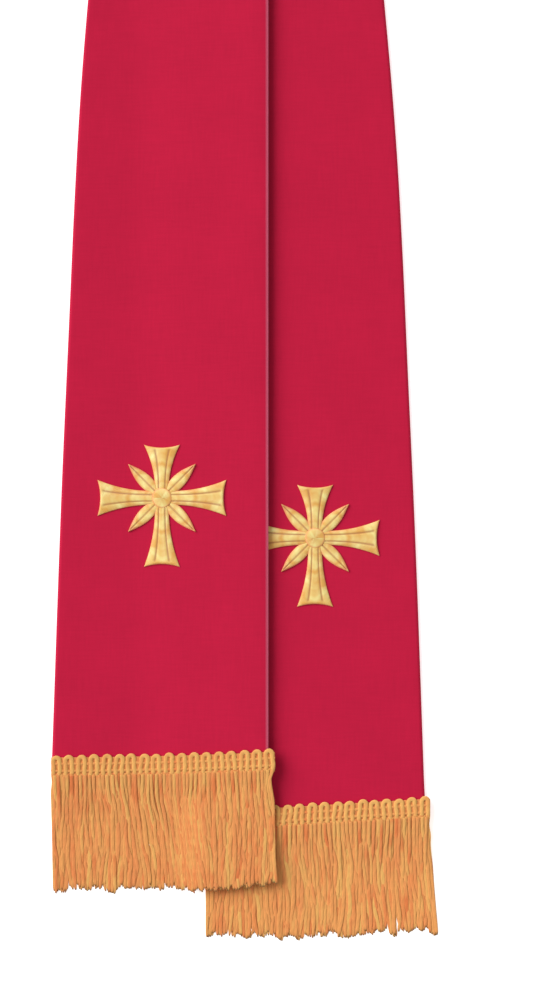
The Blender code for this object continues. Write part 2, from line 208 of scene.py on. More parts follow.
Station = namedtuple("Station", "up width")
WIDTHS = (
    Station(up=0.000, width=0.1229),
    Station(up=0.154, width=0.1174),
    Station(up=0.267, width=0.1124),
    Station(up=0.323, width=0.1099),
    Station(up=0.380, width=0.1067),
    Station(up=0.436, width=0.1023),
    Station(up=0.560, width=0.0907),
    Station(up=0.700, width=0.0785),
    Station(up=0.820, width=0.0718),
    Station(up=0.920, width=NECK_WIDTH),
    Station(up=1.300, width=NECK_WIDTH),
)

Half = namedtuple(
    "Half",
    "name side hem_y rise_inner rise_outer overhang strand_inner strand_outer "
    "lean flare pinch sway emblem_up seed",
)
LEFT = Half(
    name="left",
    side=-1,
    hem_y=0.0,
    rise_inner=0.0038,
    rise_outer=0.0,
    overhang=0.0042,
    strand_inner=0.0650,
    strand_outer=0.0650,
    lean=-0.0012,
    flare=0.0,
    pinch=0.0028,
    sway=1.0,
    emblem_up=0.1555,
    seed=3,
)
RIGHT = Half(
    name="right",
    side=1,
    hem_y=-0.0308,
    rise_inner=0.0,
    rise_outer=0.0074,
    overhang=0.0018,
    strand_inner=0.0604,
    strand_outer=0.0650,
    lean=0.0,
    flare=0.0044,
    pinch=0.0,
    sway=0.3,
    emblem_up=0.1637,
    seed=8,
)
HALVES = (LEFT, RIGHT)

Arm = namedtuple("Arm", "turn reach")
ARMS = (
    Arm(turn=0.0, reach=0.0300),
    Arm(turn=90.0, reach=0.0365),
    Arm(turn=180.0, reach=0.0390),
    Arm(turn=270.0, reach=0.0365),
)

# The solids stand on the middle of their box; this is how far that moved them
LEFT_LOW, LEFT_HIGH = (np.array(corner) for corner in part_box("left_half"))
SHIFT = np.array([LEFT_HIGH[0] - OVERLAP / 2, LEFT_LOW[1], 0.0])


def smooth(share):
    """An S curve: 3 s squared less 2 s cubed, held at 0 and 1 outside them."""
    share = np.clip(share, 0.0, 1.0)
    return share * share * (3 - 2 * share)


def mix(start, end, share):
    return start + (end - start) * share


def width_at(up):
    """Width at a distance up from the hem: a cubic between stations, sloped as their neighbours are apart."""
    ups = np.array([s.up for s in WIDTHS])
    widths = np.array([s.width for s in WIDTHS])
    before = np.maximum(np.arange(len(ups)) - 1, 0)
    after = np.minimum(np.arange(len(ups)) + 1, len(ups) - 1)
    slopes = (widths[after] - widths[before]) / (ups[after] - ups[before])
    up = np.clip(up, ups[0], ups[-1])
    i = np.clip(np.searchsorted(ups, up, side="left") - 1, 0, len(ups) - 2)
    span = ups[i + 1] - ups[i]
    t = (up - ups[i]) / span
    ends = widths[i] * (2 * t**3 - 3 * t**2 + 1) + widths[i + 1] * (3 * t**2 - 2 * t**3)
    return ends + span * (slopes[i] * (t**3 - 2 * t**2 + t) + slopes[i + 1] * (t**3 - t**2))


def inner_edge(up):
    """How far outwards and along the inner edge is, and its lean: a straight, an arc and a straight."""
    lean = np.clip(up - STRAIGHT_UP, 0.0, BEND_LENGTH) / BEND_RADIUS
    beyond = np.maximum(up - STRAIGHT_UP - BEND_LENGTH, 0.0)
    out = BEND_RADIUS * (1 - np.cos(lean)) + beyond * np.sin(lean)
    along = np.minimum(up, STRAIGHT_UP) + BEND_RADIUS * np.sin(lean) + beyond * np.cos(lean)
    return out, along, lean


def in_plan(half, up, across):
    """X and Y of the cloth, by the distance up from the hem and square across from the inner edge."""
    out, along, lean = inner_edge(up)
    x = half.side * (out + across * np.cos(lean) - OVERLAP / 2)
    return x, half.hem_y + along - across * np.sin(lean)


def run_of(half):
    return RUN + (LEFT.hem_y - half.hem_y) / math.cos(LEAN)


def fold_centre(half):
    """Outward and upward place where the neck band's middle meets the fold."""
    out, along, lean = (float(value) for value in inner_edge(run_of(half)))
    panel = np.array([out + NECK_WIDTH / 2 * math.cos(lean), along - NECK_WIDTH / 2 * math.sin(lean)])
    return panel - OUT_OF_FOLD * FOLD_ARC


def band_length(half):
    folds = sum(fold_centre(h)[0] - OVERLAP / 2 for h in HALVES)
    other = RIGHT if half is LEFT else LEFT
    return (folds + run_of(other) - run_of(half)) / 2


def lift(half, x, y):
    """Height of a panel's underside: S curves up over the neck band, the right half and the covered arm, and
    a low curl along the left half's free edge."""
    top = LEFT.hem_y + fold_centre(LEFT)[1] - NECK_WIDTH / 2 - CLIMB_CLEAR
    over_band = 2 * FOLD_RADIUS * smooth((y - top + BAND_CLIMB) / BAND_CLIMB)
    if half is RIGHT:
        return over_band
    up = y - LEFT.hem_y
    beneath = inner_edge(y - RIGHT.hem_y)[0]
    share = smooth((x + OVERLAP / 2 - beneath + CLIMB_CLEAR + OVERLAP_CLIMB) / OVERLAP_CLIMB)
    wide = np.maximum(OVERLAP - beneath - inner_edge(up)[0], 2 * CLIMB_CLEAR) + CLIMB_CLEAR
    aside = ((OVERLAP / 2 - x) / wide - EMBLEM_COLUMN) / (CLEAR_COLUMN - EMBLEM_COLUMN)
    from_arm = np.abs(y - RIGHT.hem_y - RIGHT.emblem_up)
    over_arm = (1 - smooth(aside)) * (1 - smooth((from_arm - OVER_EMBLEM_HALF) / OVER_EMBLEM_FALL))
    from_edge = OVERLAP / 2 - inner_edge(up)[0] - x
    curl = (1 - smooth(from_edge / CURL_WIDTH)) * (1 - smooth((up - CURL_FADES_AT) / CURL_FADE))
    on_half = (CLOTH + GAP) * share + np.maximum(OVER_EMBLEM * over_arm, EDGE_CURL * curl)
    return np.maximum(over_band, on_half)


def cloth_surface(half, along, across):
    """Middle of the cloth and its normal: face down on the band, half round the fold, then the panel."""
    from_centre = across - NECK_WIDTH / 2
    past = (along * math.cos(LEAN) - from_centre * (1 - math.sin(LEAN))) / FOLD_NORM
    turn = np.clip(past / FOLD_RADIUS, 0.0, math.pi)
    slide = np.where(past > 0, FOLD_RADIUS * np.sin(turn) - past, 0.0)
    centre = fold_centre(half)
    out = centre[0] + along + OUT_OF_FOLD[0] * slide
    up = centre[1] - from_centre + OUT_OF_FOLD[1] * slide
    folded = [half.side * (out - OVERLAP / 2), half.hem_y + up]
    height = CLOTH / 2 + FOLD_RADIUS * (1 - np.cos(turn))
    panel = in_plan(half, run_of(half) - along, across)
    raised = lift(half, *panel) + CLOTH / 2
    on_panel = past >= FOLD_ARC
    middle = np.stack([np.where(on_panel, panel[k], folded[k]) for k in (0, 1)], -1)
    middle = np.concatenate([middle, np.where(on_panel, raised, height)[..., None]], -1)
    flat = np.sin(turn)
    normal = [half.side * OUT_OF_FOLD[0] * flat, OUT_OF_FOLD[1] * flat, -np.cos(turn)]
    return middle, np.stack([np.broadcast_to(n, middle.shape[:-1]) for n in normal], -1)


def hem_rise(half, share):
    return half.rise_inner * (1 - share) ** 2 + half.rise_outer * share


def header_point(half, across, above_hem, height):
    """A point over the cloth's face near the hem, by its height over the gap between cloth and fringe."""
    share = np.clip(across / WIDTHS[0].width, 0.0, 1.0)
    x, y = in_plan(half, hem_rise(half, share) + above_hem, across)
    return np.stack([x, y, lift(half, x, y) + CLOTH + GAP + height], -1)


# Meshes from grids

Skin = namedtuple("Skin", "points faces corners values")


def skin(grid, uv, **values):
    """Closed tubes from a grid of tubes, rows and ring points: a quad between each four neighbours, the ring
    closing on itself, and each end filled by quads between opposite ring points. uv has one more ring point,
    where the pattern closes. Tubes whose signed volume is negative have their faces turned round."""
    tubes, rows, ring = grid.shape[:3]
    t, r, k = np.meshgrid(np.arange(tubes), np.arange(rows - 1), np.arange(ring), indexing="ij")
    start = (t * rows + r) * ring
    close = (k + 1) % ring
    sides = np.stack([start + k, start + close, start + ring + close, start + ring + k], -1)
    side_uv = np.stack([uv[t, r, k], uv[t, r, k + 1], uv[t, r + 1, k + 1], uv[t, r + 1, k]], -2)
    i = np.arange(ring // 2 - 1)
    pairs = np.stack([i, ring - 1 - i, ring - 2 - i, i + 1], -1)
    faces, corners = [], []
    for tube in range(tubes):
        first = tube * rows * ring
        last = first + (rows - 1) * ring
        own = [sides[tube].reshape(-1, 4), first + pairs, last + pairs[:, ::-1]]
        own_uv = [side_uv[tube].reshape(-1, 4, 2), uv[tube, 0][pairs], uv[tube, -1][pairs[:, ::-1]]]
        own, own_uv = np.concatenate(own), np.concatenate(own_uv)
        places = grid.reshape(-1, 3)[own]
        a, b, c, d = (places[:, n] - places[0, 0] for n in range(4))
        volume = (np.cross(a, b) * c).sum() + (np.cross(a, c) * d).sum()
        turn = slice(None, None, -1) if volume < 0 else slice(None)
        faces.append(own[:, turn])
        corners.append(own_uv[:, turn])
    spread = {name: np.broadcast_to(value, grid.shape[:3]).ravel() for name, value in values.items()}
    return Skin(grid.reshape(-1, 3), np.concatenate(faces), np.concatenate(corners), spread)


def piece(name, skins, material, slot, *nodes):
    """Joins skins into one object at the origin, which rides on the root and stands for the nodes."""
    starts = np.cumsum([0] + [len(s.points) for s in skins[:-1]])
    mesh = bpy.data.meshes.new(name)
    points = np.concatenate([s.points for s in skins]) + SHIFT
    faces = np.concatenate([s.faces + start for s, start in zip(skins, starts)])
    mesh.from_pydata(points.tolist(), [], faces.tolist())
    corners = np.concatenate([s.corners for s in skins]).reshape(-1)
    mesh.uv_layers.new(name="pattern").data.foreach_set("uv", corners.astype(np.float32))
    for key in skins[0].values:
        values = np.concatenate([s.values[key] for s in skins]).astype(np.float32)
        mesh.attributes.new(key, "FLOAT", "POINT").data.foreach_set("value", values)
    mesh.shade_smooth()
    mesh.materials.append(material)
    made = bpy.data.objects.new(name, mesh)
    bpy.context.scene.collection.objects.link(made)
    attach(made, "root")
    if nodes:
        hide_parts(*nodes)
    return made


def tube(path, radius, rise, sides):
    """An oval ring at each point of each path, as far aside as the radius and as far up as the rise, in the
    plane of the path's level and upward normals. path is tubes, rows, 3; radius and rise are tubes, rows.
    v of the pattern is the length run so far, in metres."""
    ahead = np.gradient(path, axis=1)
    ahead /= np.linalg.norm(ahead, axis=-1, keepdims=True)
    level = np.cross(ahead, [0.0, 0.0, 1.0])
    level /= np.linalg.norm(level, axis=-1, keepdims=True)
    upward = np.cross(level, ahead)
    angle = 2 * math.pi * (np.arange(sides) + 0.5) / sides
    offset = np.cos(angle)[:, None] * (level * radius[..., None])[:, :, None]
    offset = offset + np.sin(angle)[:, None] * (upward * rise[..., None])[:, :, None]
    steps = np.linalg.norm(np.diff(path, axis=1), axis=-1)
    run = np.concatenate([np.zeros((len(path), 1)), np.cumsum(steps, axis=1)], axis=1)
    u = np.broadcast_to(np.arange(sides + 1) / sides, (*run.shape, sides + 1))
    uv = np.stack([u, np.broadcast_to(run[..., None], u.shape)], -1)
    return path[:, :, None] + offset, uv


# Shaders


class Value:
    """A socket of a shader. Arithmetic on it adds Math nodes."""

    def __init__(self, shader, socket):
        self.shader = shader
        self.socket = socket

    def math(self, operation, *others):
        return self.shader.node("ShaderNodeMath", {"operation": operation}, dict(enumerate(others)))

    def __add__(self, other):
        return self.math("ADD", self, other)

    def __mul__(self, other):
        return self.math("MULTIPLY", self, other)

    def __sub__(self, other):
        return self.math("SUBTRACT", self, other)

    def __rsub__(self, other):
        return self.math("SUBTRACT", other, self)

    def __pow__(self, other):
        return self.math("POWER", self, other)

    __radd__ = __add__
    __rmul__ = __mul__

    def sine(self):
        return self.math("SINE", self)

    def size(self):
        return self.math("ABSOLUTE", self)


class Shader:
    """A material with one Principled surface. Constants are set on the surface's own sockets."""

    def __init__(self, name, **constants):
        self.material = bpy.data.materials.new(name)
        self.material.use_nodes = True
        self.tree = self.material.node_tree
        self.surface = self.tree.nodes["Principled BSDF"]
        for key, value in constants.items():
            self.surface.inputs[key.replace("_", " ")].default_value = value

    def node(self, kind, settings=None, inputs=None, output=0):
        """Adds a node: its settings first, then a value or a link for each socket named or numbered."""
        made = self.tree.nodes.new(kind)
        for key, value in (settings or {}).items():
            if key == "stops":
                self.set_stops(made.color_ramp.elements, value)
            else:
                setattr(made, key, value)
        for key, value in (inputs or {}).items():
            if isinstance(value, Value):
                self.tree.links.new(value.socket, made.inputs[key])
            else:
                made.inputs[key].default_value = value
        return Value(self, made.outputs[output])

    @staticmethod
    def set_stops(elements, stops):
        while len(elements) < len(stops):
            elements.new(0.5)
        for element, (place, value) in zip(elements, stops):
            element.position = place
            element.color = (value, value, value, 1.0)

    def pattern(self):
        """The piece's own UV map, and its two parts."""
        uv = self.node("ShaderNodeUVMap", {"uv_map": "pattern"})
        return uv, [self.node("ShaderNodeSeparateXYZ", inputs={0: uv}, output=k) for k in (0, 1)]

    def attribute(self, name):
        return self.node("ShaderNodeAttribute", {"attribute_name": name}, output=2)

    def noise(self, vector, scale, stretch=(1.0, 1.0, 1.0), detail=2.0):
        """Noise between 0 and 1, finer where stretch is greater."""
        placed = self.node("ShaderNodeMapping", inputs={"Vector": vector, "Scale": stretch})
        return self.node("ShaderNodeTexNoise", inputs={"Vector": placed, "Scale": scale, "Detail": detail})

    def ramp(self, value, *stops):
        return self.node("ShaderNodeValToRGB", {"stops": stops}, {0: value})

    def mix(self, share, low, high):
        """A colour between two colours."""
        return self.node("ShaderNodeMix", {"data_type": "RGBA"}, {0: share, 6: low, 7: high}, output=2)

    def shade(self, colour, factor):
        """A colour made lighter or darker by a factor."""
        grey = self.node("ShaderNodeCombineColor", inputs={0: factor, 1: factor, 2: factor})
        settings = {"data_type": "RGBA", "blend_type": "MULTIPLY"}
        return self.node("ShaderNodeMix", settings, {0: 1.0, 6: colour, 7: grey}, output=2)

    def bump(self, height, distance, strength=1.0):
        made = self.node("ShaderNodeBump", inputs={"Height": height, "Distance": distance, "Strength": strength})
        self.feed(Normal=made)

    def feed(self, **sockets):
        for key, value in sockets.items():
            self.tree.links.new(value.socket, self.surface.inputs[key.replace("_", " ")])


def rgba(colour):
    return (*colour, 1.0)


def cloth_material(settings):
    """Plain weave in metres across and along the cloth, painted shade between its threads, faint slubs and
    mottling, and a painted highlight on the rolled inner edge.
    """
    cloth = Shader(
        "red cloth",
        Roughness=0.85,
        Sheen_Weight=0.03,
        Sheen_Roughness=0.5,
        Specular_IOR_Level=0.12,
    )
    uv, (across, along) = cloth.pattern()
    turns = 2 * math.pi / settings.thread
    weave = (across * turns).sine() * (along * turns).sine()
    slubs = cloth.noise(uv, 1.0, (900.0, 70.0, 1.0)) + cloth.noise(uv, 1.0, (70.0, 900.0, 1.0))
    mottle = cloth.noise(uv, 1.0, (28.0, 28.0, 1.0), 3.0)
    # Painted shade: the weave term darkens the cloth a little between its threads; slubs and mottling are its own
    # tone.
    light = 0.80 + slubs * 0.13 + mottle * 0.14 + weave * 0.03
    colour = cloth.shade(rgba(settings.colour), light)
    # Painted highlight: the rolled inner edge is mixed towards a paler colour, standing in for light on the edge.
    colour = cloth.mix(cloth.attribute("rim"), colour, rgba(settings.painted_edge_colour))
    cloth.feed(Base_Color=colour)
    cloth.bump(weave * 0.5 + slubs * 1.2, settings.relief)
    return cloth.material


def yarn_material(settings):
    """Twisted yarn: slanting plies round each strand, painted shade between the plies, tints that differ by
    strand and along it, darker tips, and a redder gold painted as shade in the layers beneath, the tape and the
    binding."""
    yarn = Shader(
        "gold yarn",
        Roughness=0.7,
        Diffuse_Roughness=1.0,
        Sheen_Weight=0.06,
        Specular_IOR_Level=0.12,
    )
    uv, (around, along) = yarn.pattern()
    tint = yarn.attribute("tint")
    ply = (around * (4 * math.pi) + along * (2 * math.pi / settings.ply_turn)).sine()
    seeded = yarn.node("ShaderNodeCombineXYZ", inputs={0: tint * 7.0, 1: along, 2: tint * 3.0})
    streak = yarn.noise(seeded, 1.0, (1.0, 70.0, 1.0), 3.0)
    fibre = yarn.noise(uv, 1.0, (14.0, 500.0, 1.0), 2.0)
    warm = yarn.ramp(tint * 0.6 + streak * 0.5, (0.30, 0.0), (0.74, 1.0))
    colour = yarn.mix(warm, rgba(settings.amber), rgba(settings.yellow))
    dash = yarn.noise(seeded, 1.0, (3.0, 55.0, 2.0), 1.0)
    colour = yarn.mix(yarn.ramp(dash, (0.56, 0.0), (0.70, 0.65)), colour, rgba(settings.red))
    # Painted shade: the lower layers, the tape and the binding are mixed towards a redder gold, as the shade
    # between strands looks.
    colour = yarn.mix(yarn.attribute("depth"), colour, rgba(settings.painted_shade_colour))
    # Painted shade: the ply term darkens the yarn a little between its plies. The last factor darkens the
    # strands' tips and, as painted shade, the tape.
    light = (0.91 + ply * 0.03 + fibre * 0.18) * (1.0 - yarn.attribute("tip") * 0.60)
    yarn.feed(Base_Color=yarn.shade(colour, light))
    yarn.bump(ply * 0.6 + fibre * 0.6, settings.ply_relief)
    return yarn.material


def thread_material(settings):
    """Satin stitch: fine threads across each limb, glossy, with painted highlight patches, painted shade between
    stitches, brown in the grooves, and painted shade in peach-orange at the edges.
    """
    thread = Shader(
        "gold thread",
        Roughness=0.36,
        Specular_IOR_Level=0.4,
        Sheen_Weight=0.1,
        Anisotropic=0.4,
    )
    uv, (across, along) = thread.pattern()
    stitch = (along * (2 * math.pi / settings.thread)).sine()
    wander = thread.noise(uv, 1.0, (120.0, 1800.0, 1.0))
    highlight_noise = thread.noise(uv, 1.0, (60.0, 110.0, 1.0), 2.0)
    # Painted highlight: noise lays patches of paler gold over the thread.
    painted_highlight = thread.ramp(highlight_noise, (0.42, 0.0), (0.66, 1.0))
    colour = thread.mix(painted_highlight, rgba(settings.colour), rgba(settings.light))
    # Painted shade: the limbs' edges and the boss's rim are mixed towards orange.
    colour = thread.mix(thread.attribute("rim"), colour, rgba(settings.painted_edge_colour))
    colour = thread.mix(thread.attribute("vein"), colour, rgba(settings.vein_colour))
    # Painted shade: the stitch term darkens the gold a little between stitches; the wander noise is the thread's
    # own tone.
    thread.feed(Base_Color=thread.shade(colour, 0.93 + stitch * 0.05 + wander * 0.06))
    thread.bump(stitch * 0.5 + wander * 0.6, 0.00005)
    return thread.material


def floor_material(settings):
    """A pale matt surface with the faintest unevenness, lit a little from within as a light table is."""
    floor = Shader("pale floor", Roughness=0.9, Emission_Strength=settings.floor_glow)
    spots = floor.noise(floor.node("ShaderNodeTexCoord", output=3), 9.0)
    floor.feed(Base_Color=floor.shade(rgba(settings.floor_colour), 0.98 + spots * 0.03))
    floor.surface.inputs["Emission Color"].default_value = (1.0, 1.0, 1.0, 1.0)
    return floor.material


# The cloth


def cloth_rows(half):
    """The rows' distances past the fold, their slants and their share of the cloth's thickness: close together
    at the seam, the fold and the hem and even between, slanted at the fold, and rounded off at both ends."""
    seam = GAP / 2 - band_length(half)
    last = run_of(half)
    band = np.linspace(seam + ROWS_CLEAR, BAND_TO, BAND_ROWS)
    fold = np.linspace(0.0, FOLD_ARC, FOLD_ROWS) * FOLD_NORM / math.cos(LEAN)
    turning = np.arange(TURNING_FROM, TURNING_TO, TURNING_STEP)
    panel = np.linspace(PANEL_FROM, last - ROWS_CLEAR, PANEL_ROWS)
    rows = np.concatenate([seam + END_ROWS, band, fold, turning, panel, last - END_ROWS[::-1]])
    fading = 1 - smooth((rows - SLANT_FADES_AT) / SLANT_FADE)
    slant = np.where(rows < 0, (rows - seam) / -seam, fading)
    ends = np.minimum(rows - seam, last - rows) / END_ROUND
    thick = np.sqrt(1 - (1 - np.clip(ends, END_THIN, 1.0)) ** 2)
    return rows, CREASE_SLOPE * slant, thick


def face_relief(half, across, width, along):
    """Relief of the face: a little more where the edges are turned in, soft waves, and faint edge puckers."""
    from_edge = np.minimum(across, width - across)
    turned = 1 - smooth((from_edge - TURNED_IN) / TURNED_EASES)
    pucker = np.sin(along / PUCKER_STEP + 3 * np.sin(along / PUCKER_SWAY)) * np.exp(-from_edge / PUCKER_FADE)
    waves = np.sin(along / SHORT_WAVE + 14 * across + half.seed)
    waves = waves + 0.7 * np.sin(along / LONG_WAVE - 31 * across)
    return TURNED_RELIEF * turned + PUCKER_RELIEF * pucker + WAVE_RELIEF * waves


def cloth_skin(half, settings):
    """The wall as a grid of rows and ring points. A ring is a rounded strip: from the middle of the inner
    edge a quarter round up, over the face, half round down at the outer edge, and back along the underside."""
    rows, slant, thick = cloth_rows(half)
    flat = np.linspace(0.0, 1.0, settings.columns)
    quarter = np.radians([75.0, 45.0, 15.0])
    share = np.concatenate([[0, 0, 0], flat, [1, 1, 1]])
    bulge = np.concatenate([-np.sin(quarter), 0 * flat, np.sin(quarter[::-1])])
    height = np.concatenate([np.cos(quarter), 0 * flat + 1, np.cos(quarter[::-1])])
    share = np.concatenate([share, share[::-1]])
    bulge = np.concatenate([bulge, bulge[::-1]])
    height = np.concatenate([height, -height[::-1]])
    width = width_at(run_of(half) - np.maximum(rows, 0.0))[:, None]
    edge = settings.edge
    across = edge + (width - 2 * edge) * share + edge * bulge
    along = rows[:, None] + slant[:, None] * (across - NECK_WIDTH / 2)
    up = run_of(half) - along
    to_hem = 1 - smooth(up / HEM_FADE)
    along = along - hem_rise(half, np.clip(across / WIDTHS[0].width, 0, 1)) * to_hem
    middle, normal = cloth_surface(half, along, across)
    relief = np.where(height > 0.9, face_relief(half, across, width, along), 0.0)
    grid = middle + normal * (height * CLOTH / 2 * thick[:, None] + relief)[..., None]
    pattern = np.stack([np.broadcast_to(across + (height < 0), along.shape), along], -1)
    pattern = np.concatenate([pattern, pattern[:, :1]], axis=1)
    # Painted highlight: the upper half of the rolled inner edge is marked for the paler edge colour.
    rim = smooth(np.abs(bulge) * 1.4) * (bulge < 0) * (height > 0)
    return skin(grid[None], pattern[None], rim=rim)


# The fringe


def settle(places, radii, wants, sinks, supports, sides, squash):
    """Strands settled level by level down the fringe, like flat rods heaped between neighbours. At each level
    every strand moves on towards its wanted place and sinks, is pushed off each strand that it overlaps, and
    is kept above what it rests on and between the fringe's sides. Heights count from what they rest on, and
    are stretched by the squash meanwhile, so that the rods are round."""
    height = (places[:, 1] - supports[0](places[:, 0])) * squash
    path = [np.stack([places[:, 0], height], -1)]
    for radius, before, want, sink, side in zip(radii[1:], wants[:-1], wants[1:], sinks[1:], sides[1:]):
        x = path[-1][:, 0] + want - before
        z = path[-1][:, 1] - sink * squash
        reach = radius[:, None] + radius[None, :]
        for _ in range(SETTLE_ROUNDS):
            dx = x[:, None] - x[None, :]
            dz = z[:, None] - z[None, :]
            apart = np.sqrt(dx * dx + dz * dz) + 1e-9
            push = np.clip(SETTLE_REACH * reach - apart, 0, None) * SETTLE_PUSH
            np.fill_diagonal(push, 0.0)
            x = x + (push * dx / apart).sum(1) + (want - x) * SETTLE_PULL
            x = np.clip(x, side.min() + radius, side.max() - radius)
            z = np.maximum(z + (push * dz / apart).sum(1), radius)
        path.append(np.stack([x, z], -1))
    path = np.array(path)
    for _ in range(SMOOTHINGS):
        path[1:-1] = 0.25 * path[:-2] + 0.5 * path[1:-1] + 0.25 * path[2:]
    floors = np.array([support(x) for x, support in zip(path[..., 0], supports)])
    return np.stack([path[..., 0], path[..., 1] / squash + floors], -1)


def strand_length(half, share):
    """From the header to the tips: longer on one side, so that the tips lie more level than the hem does."""
    return half.strand_outer - (half.strand_outer - half.strand_inner) * (1 - share) ** 2


def support_under(half, down):
    """What the strands rest on at a distance down: a droop from the face of the hem, and past that the
    surface or the right half's header and strands."""

    def height(x):
        landing = GAP / 2
        if half is LEFT:
            edge = -OVERLAP / 2 - RIGHT.overhang
            past = smooth((down - SETTLED_BY) / PAST_HEADER)
            over = mix(CLOTH + HEADER_THICK + 2 * GAP, STRANDS_HEAP, past)
            landing = mix(GAP / 2, over, smooth((x - edge + STRAND_CLIMB) / STRAND_CLIMB))
        droop = mix(lift(half, x, half.hem_y + 0 * x) + CLOTH + GAP, landing, smooth(down / SETTLED_BY))
        return np.maximum(droop, landing)

    return height


def side_lines(half, fall):
    """X of the fringe's inner and outer side at each level: the inner one is drawn in below the header, and
    the outer one flares."""
    sides = header_point(half, np.array([-half.overhang, FRINGE_LENGTH - half.overhang]), 0.0, 0.0)[:, 0]
    eased = mix(1.0, PINCH_KEPT, smooth((fall - PINCHED_BY) / PINCH_EASES))
    eased = eased * smooth((1 - fall) / PINCH_EASES)
    pinch = half.pinch * np.array([1.0, 0.0]) * smooth(fall / PINCHED_BY) * eased
    flare = half.flare * np.array([0.0, 1.0]) * fall**1.5
    return sides + half.side * (half.lean * fall + flare + pinch)


def strand_paths(half, settings, chance, roots, starts, radius):
    """Paths of strands: they lean and wander together, each a little by itself too, and near the tips they
    draw together into clumps, whose middle strands are the longest. radius is levels, strands."""
    fall = np.linspace(0.0, 1.0, settings.levels)[:, None]
    down = fall[:, 0] * half.strand_outer
    share = np.clip((roots + half.overhang) / FRINGE_LENGTH, 0, 1)
    edges = np.cumsum(chance.uniform(0.6, 1.4, int(FRINGE_LENGTH / settings.clump)))
    edges = np.concatenate([[0.0], edges / edges[-1]])
    clump = np.clip(np.searchsorted(edges, share, side="right") - 1, 0, len(edges) - 2)
    middle = (edges[clump] + edges[clump + 1]) / 2
    from_middle = (share - middle) / (edges[clump + 1] - edges[clump]) * 2
    phase = chance.uniform(0, 2 * math.pi, (3, len(roots)))
    sway = half.side * settings.lean * half.sway * np.sin(math.pi * share) ** 2 * smooth(fall * 1.2)
    common = COMMON_WAVE * np.sin(10 * share + 2.6 * fall + half.seed)
    common = common + COMMON_RIPPLE * np.sin(24 * share - 3.0 * fall)
    own = OWN_WAVE * np.sin(4.6 * fall + phase[0]) + OWN_RIPPLE * np.sin(13.0 * fall + phase[1])
    own = own + OWN_SPREAD * fall * np.sin(phase[2])
    gather = (middle - share) * FRINGE_LENGTH * GATHER * smooth((fall - GATHERS_FROM) / GATHER_EASES)
    flare = half.lean * fall + half.flare * share**3 * fall**1.5
    wants = starts[:, 0] + half.side * ((common + own + sway) * smooth(fall * 2.5) + gather + flare)
    supports = [support_under(half, d) for d in down]
    sinks = SINK * (1 + np.sin(8.0 * fall + phase[2]) * smooth(fall * 4))
    sides = side_lines(half, fall)
    settled = settle(starts[:, [0, 2]], radius, wants, sinks, supports, sides, settings.squash)
    longer = chance.uniform(-CLUMP_UNEVEN, CLUMP_UNEVEN, len(edges))[clump]
    uneven = longer - CLUMP_NOTCH * np.abs(from_middle) ** 1.5
    uneven = uneven + chance.uniform(-STRAND_UNEVEN, STRAND_UNEVEN, len(roots))
    tips = half.hem_y + hem_rise(half, share) - BELOW_HEM - strand_length(half, share) - uneven
    y = mix(starts[:, 1], tips, fall)
    return np.stack([settled[..., 0], y, settled[..., 1]], -1).transpose(1, 0, 2)


def tip_rounded(path):
    """The share of its size that a strand keeps along its path: its last few millimetres end in a soft point."""
    steps = np.linalg.norm(np.diff(path, axis=1), axis=-1)
    left = np.concatenate([np.cumsum(steps[:, ::-1], axis=1)[:, ::-1], np.zeros((len(path), 1))], axis=1)
    return TIP_KEPT + (1 - TIP_KEPT) * np.sqrt(smooth(left / TIP_LENGTH))


def loop_arches(half, settings, chance, centres, leg):
    """The loop yarns in the header: up one leg, half a circle over the top and down the other leg."""
    crown = HEADER_UP + LOOP_RISE - settings.loop - leg
    turn = np.radians(np.arange(12.0, 180.0, 12.0))
    climb = np.linspace(0.0, 1.0, 14)[1:]
    aside = np.concatenate([0 * climb - 1, -np.cos(turn), 0 * climb + 1]) * leg
    above = np.concatenate([mix(LEG_START, crown, climb), crown + np.sin(turn) * leg])
    above = np.concatenate([above, mix(crown, LEG_START, climb - climb[0])])
    free = smooth((above - LEG_START) / 0.003)
    sway = chance.uniform(-LOOP_SWAY, LOOP_SWAY, (LOOPS, 2))
    bend = (sway[:, :1] * np.sin(above / 0.004) + sway[:, 1:] * np.cos(above / 0.0023)) * free
    raised = chance.uniform(-LOOP_UNEVEN, LOOP_UNEVEN, (LOOPS, 1)) * smooth(above / crown)
    return header_point(half, centres[:, None] + aside + bend, above + raised, settings.loop / LOOP_SQUASH)


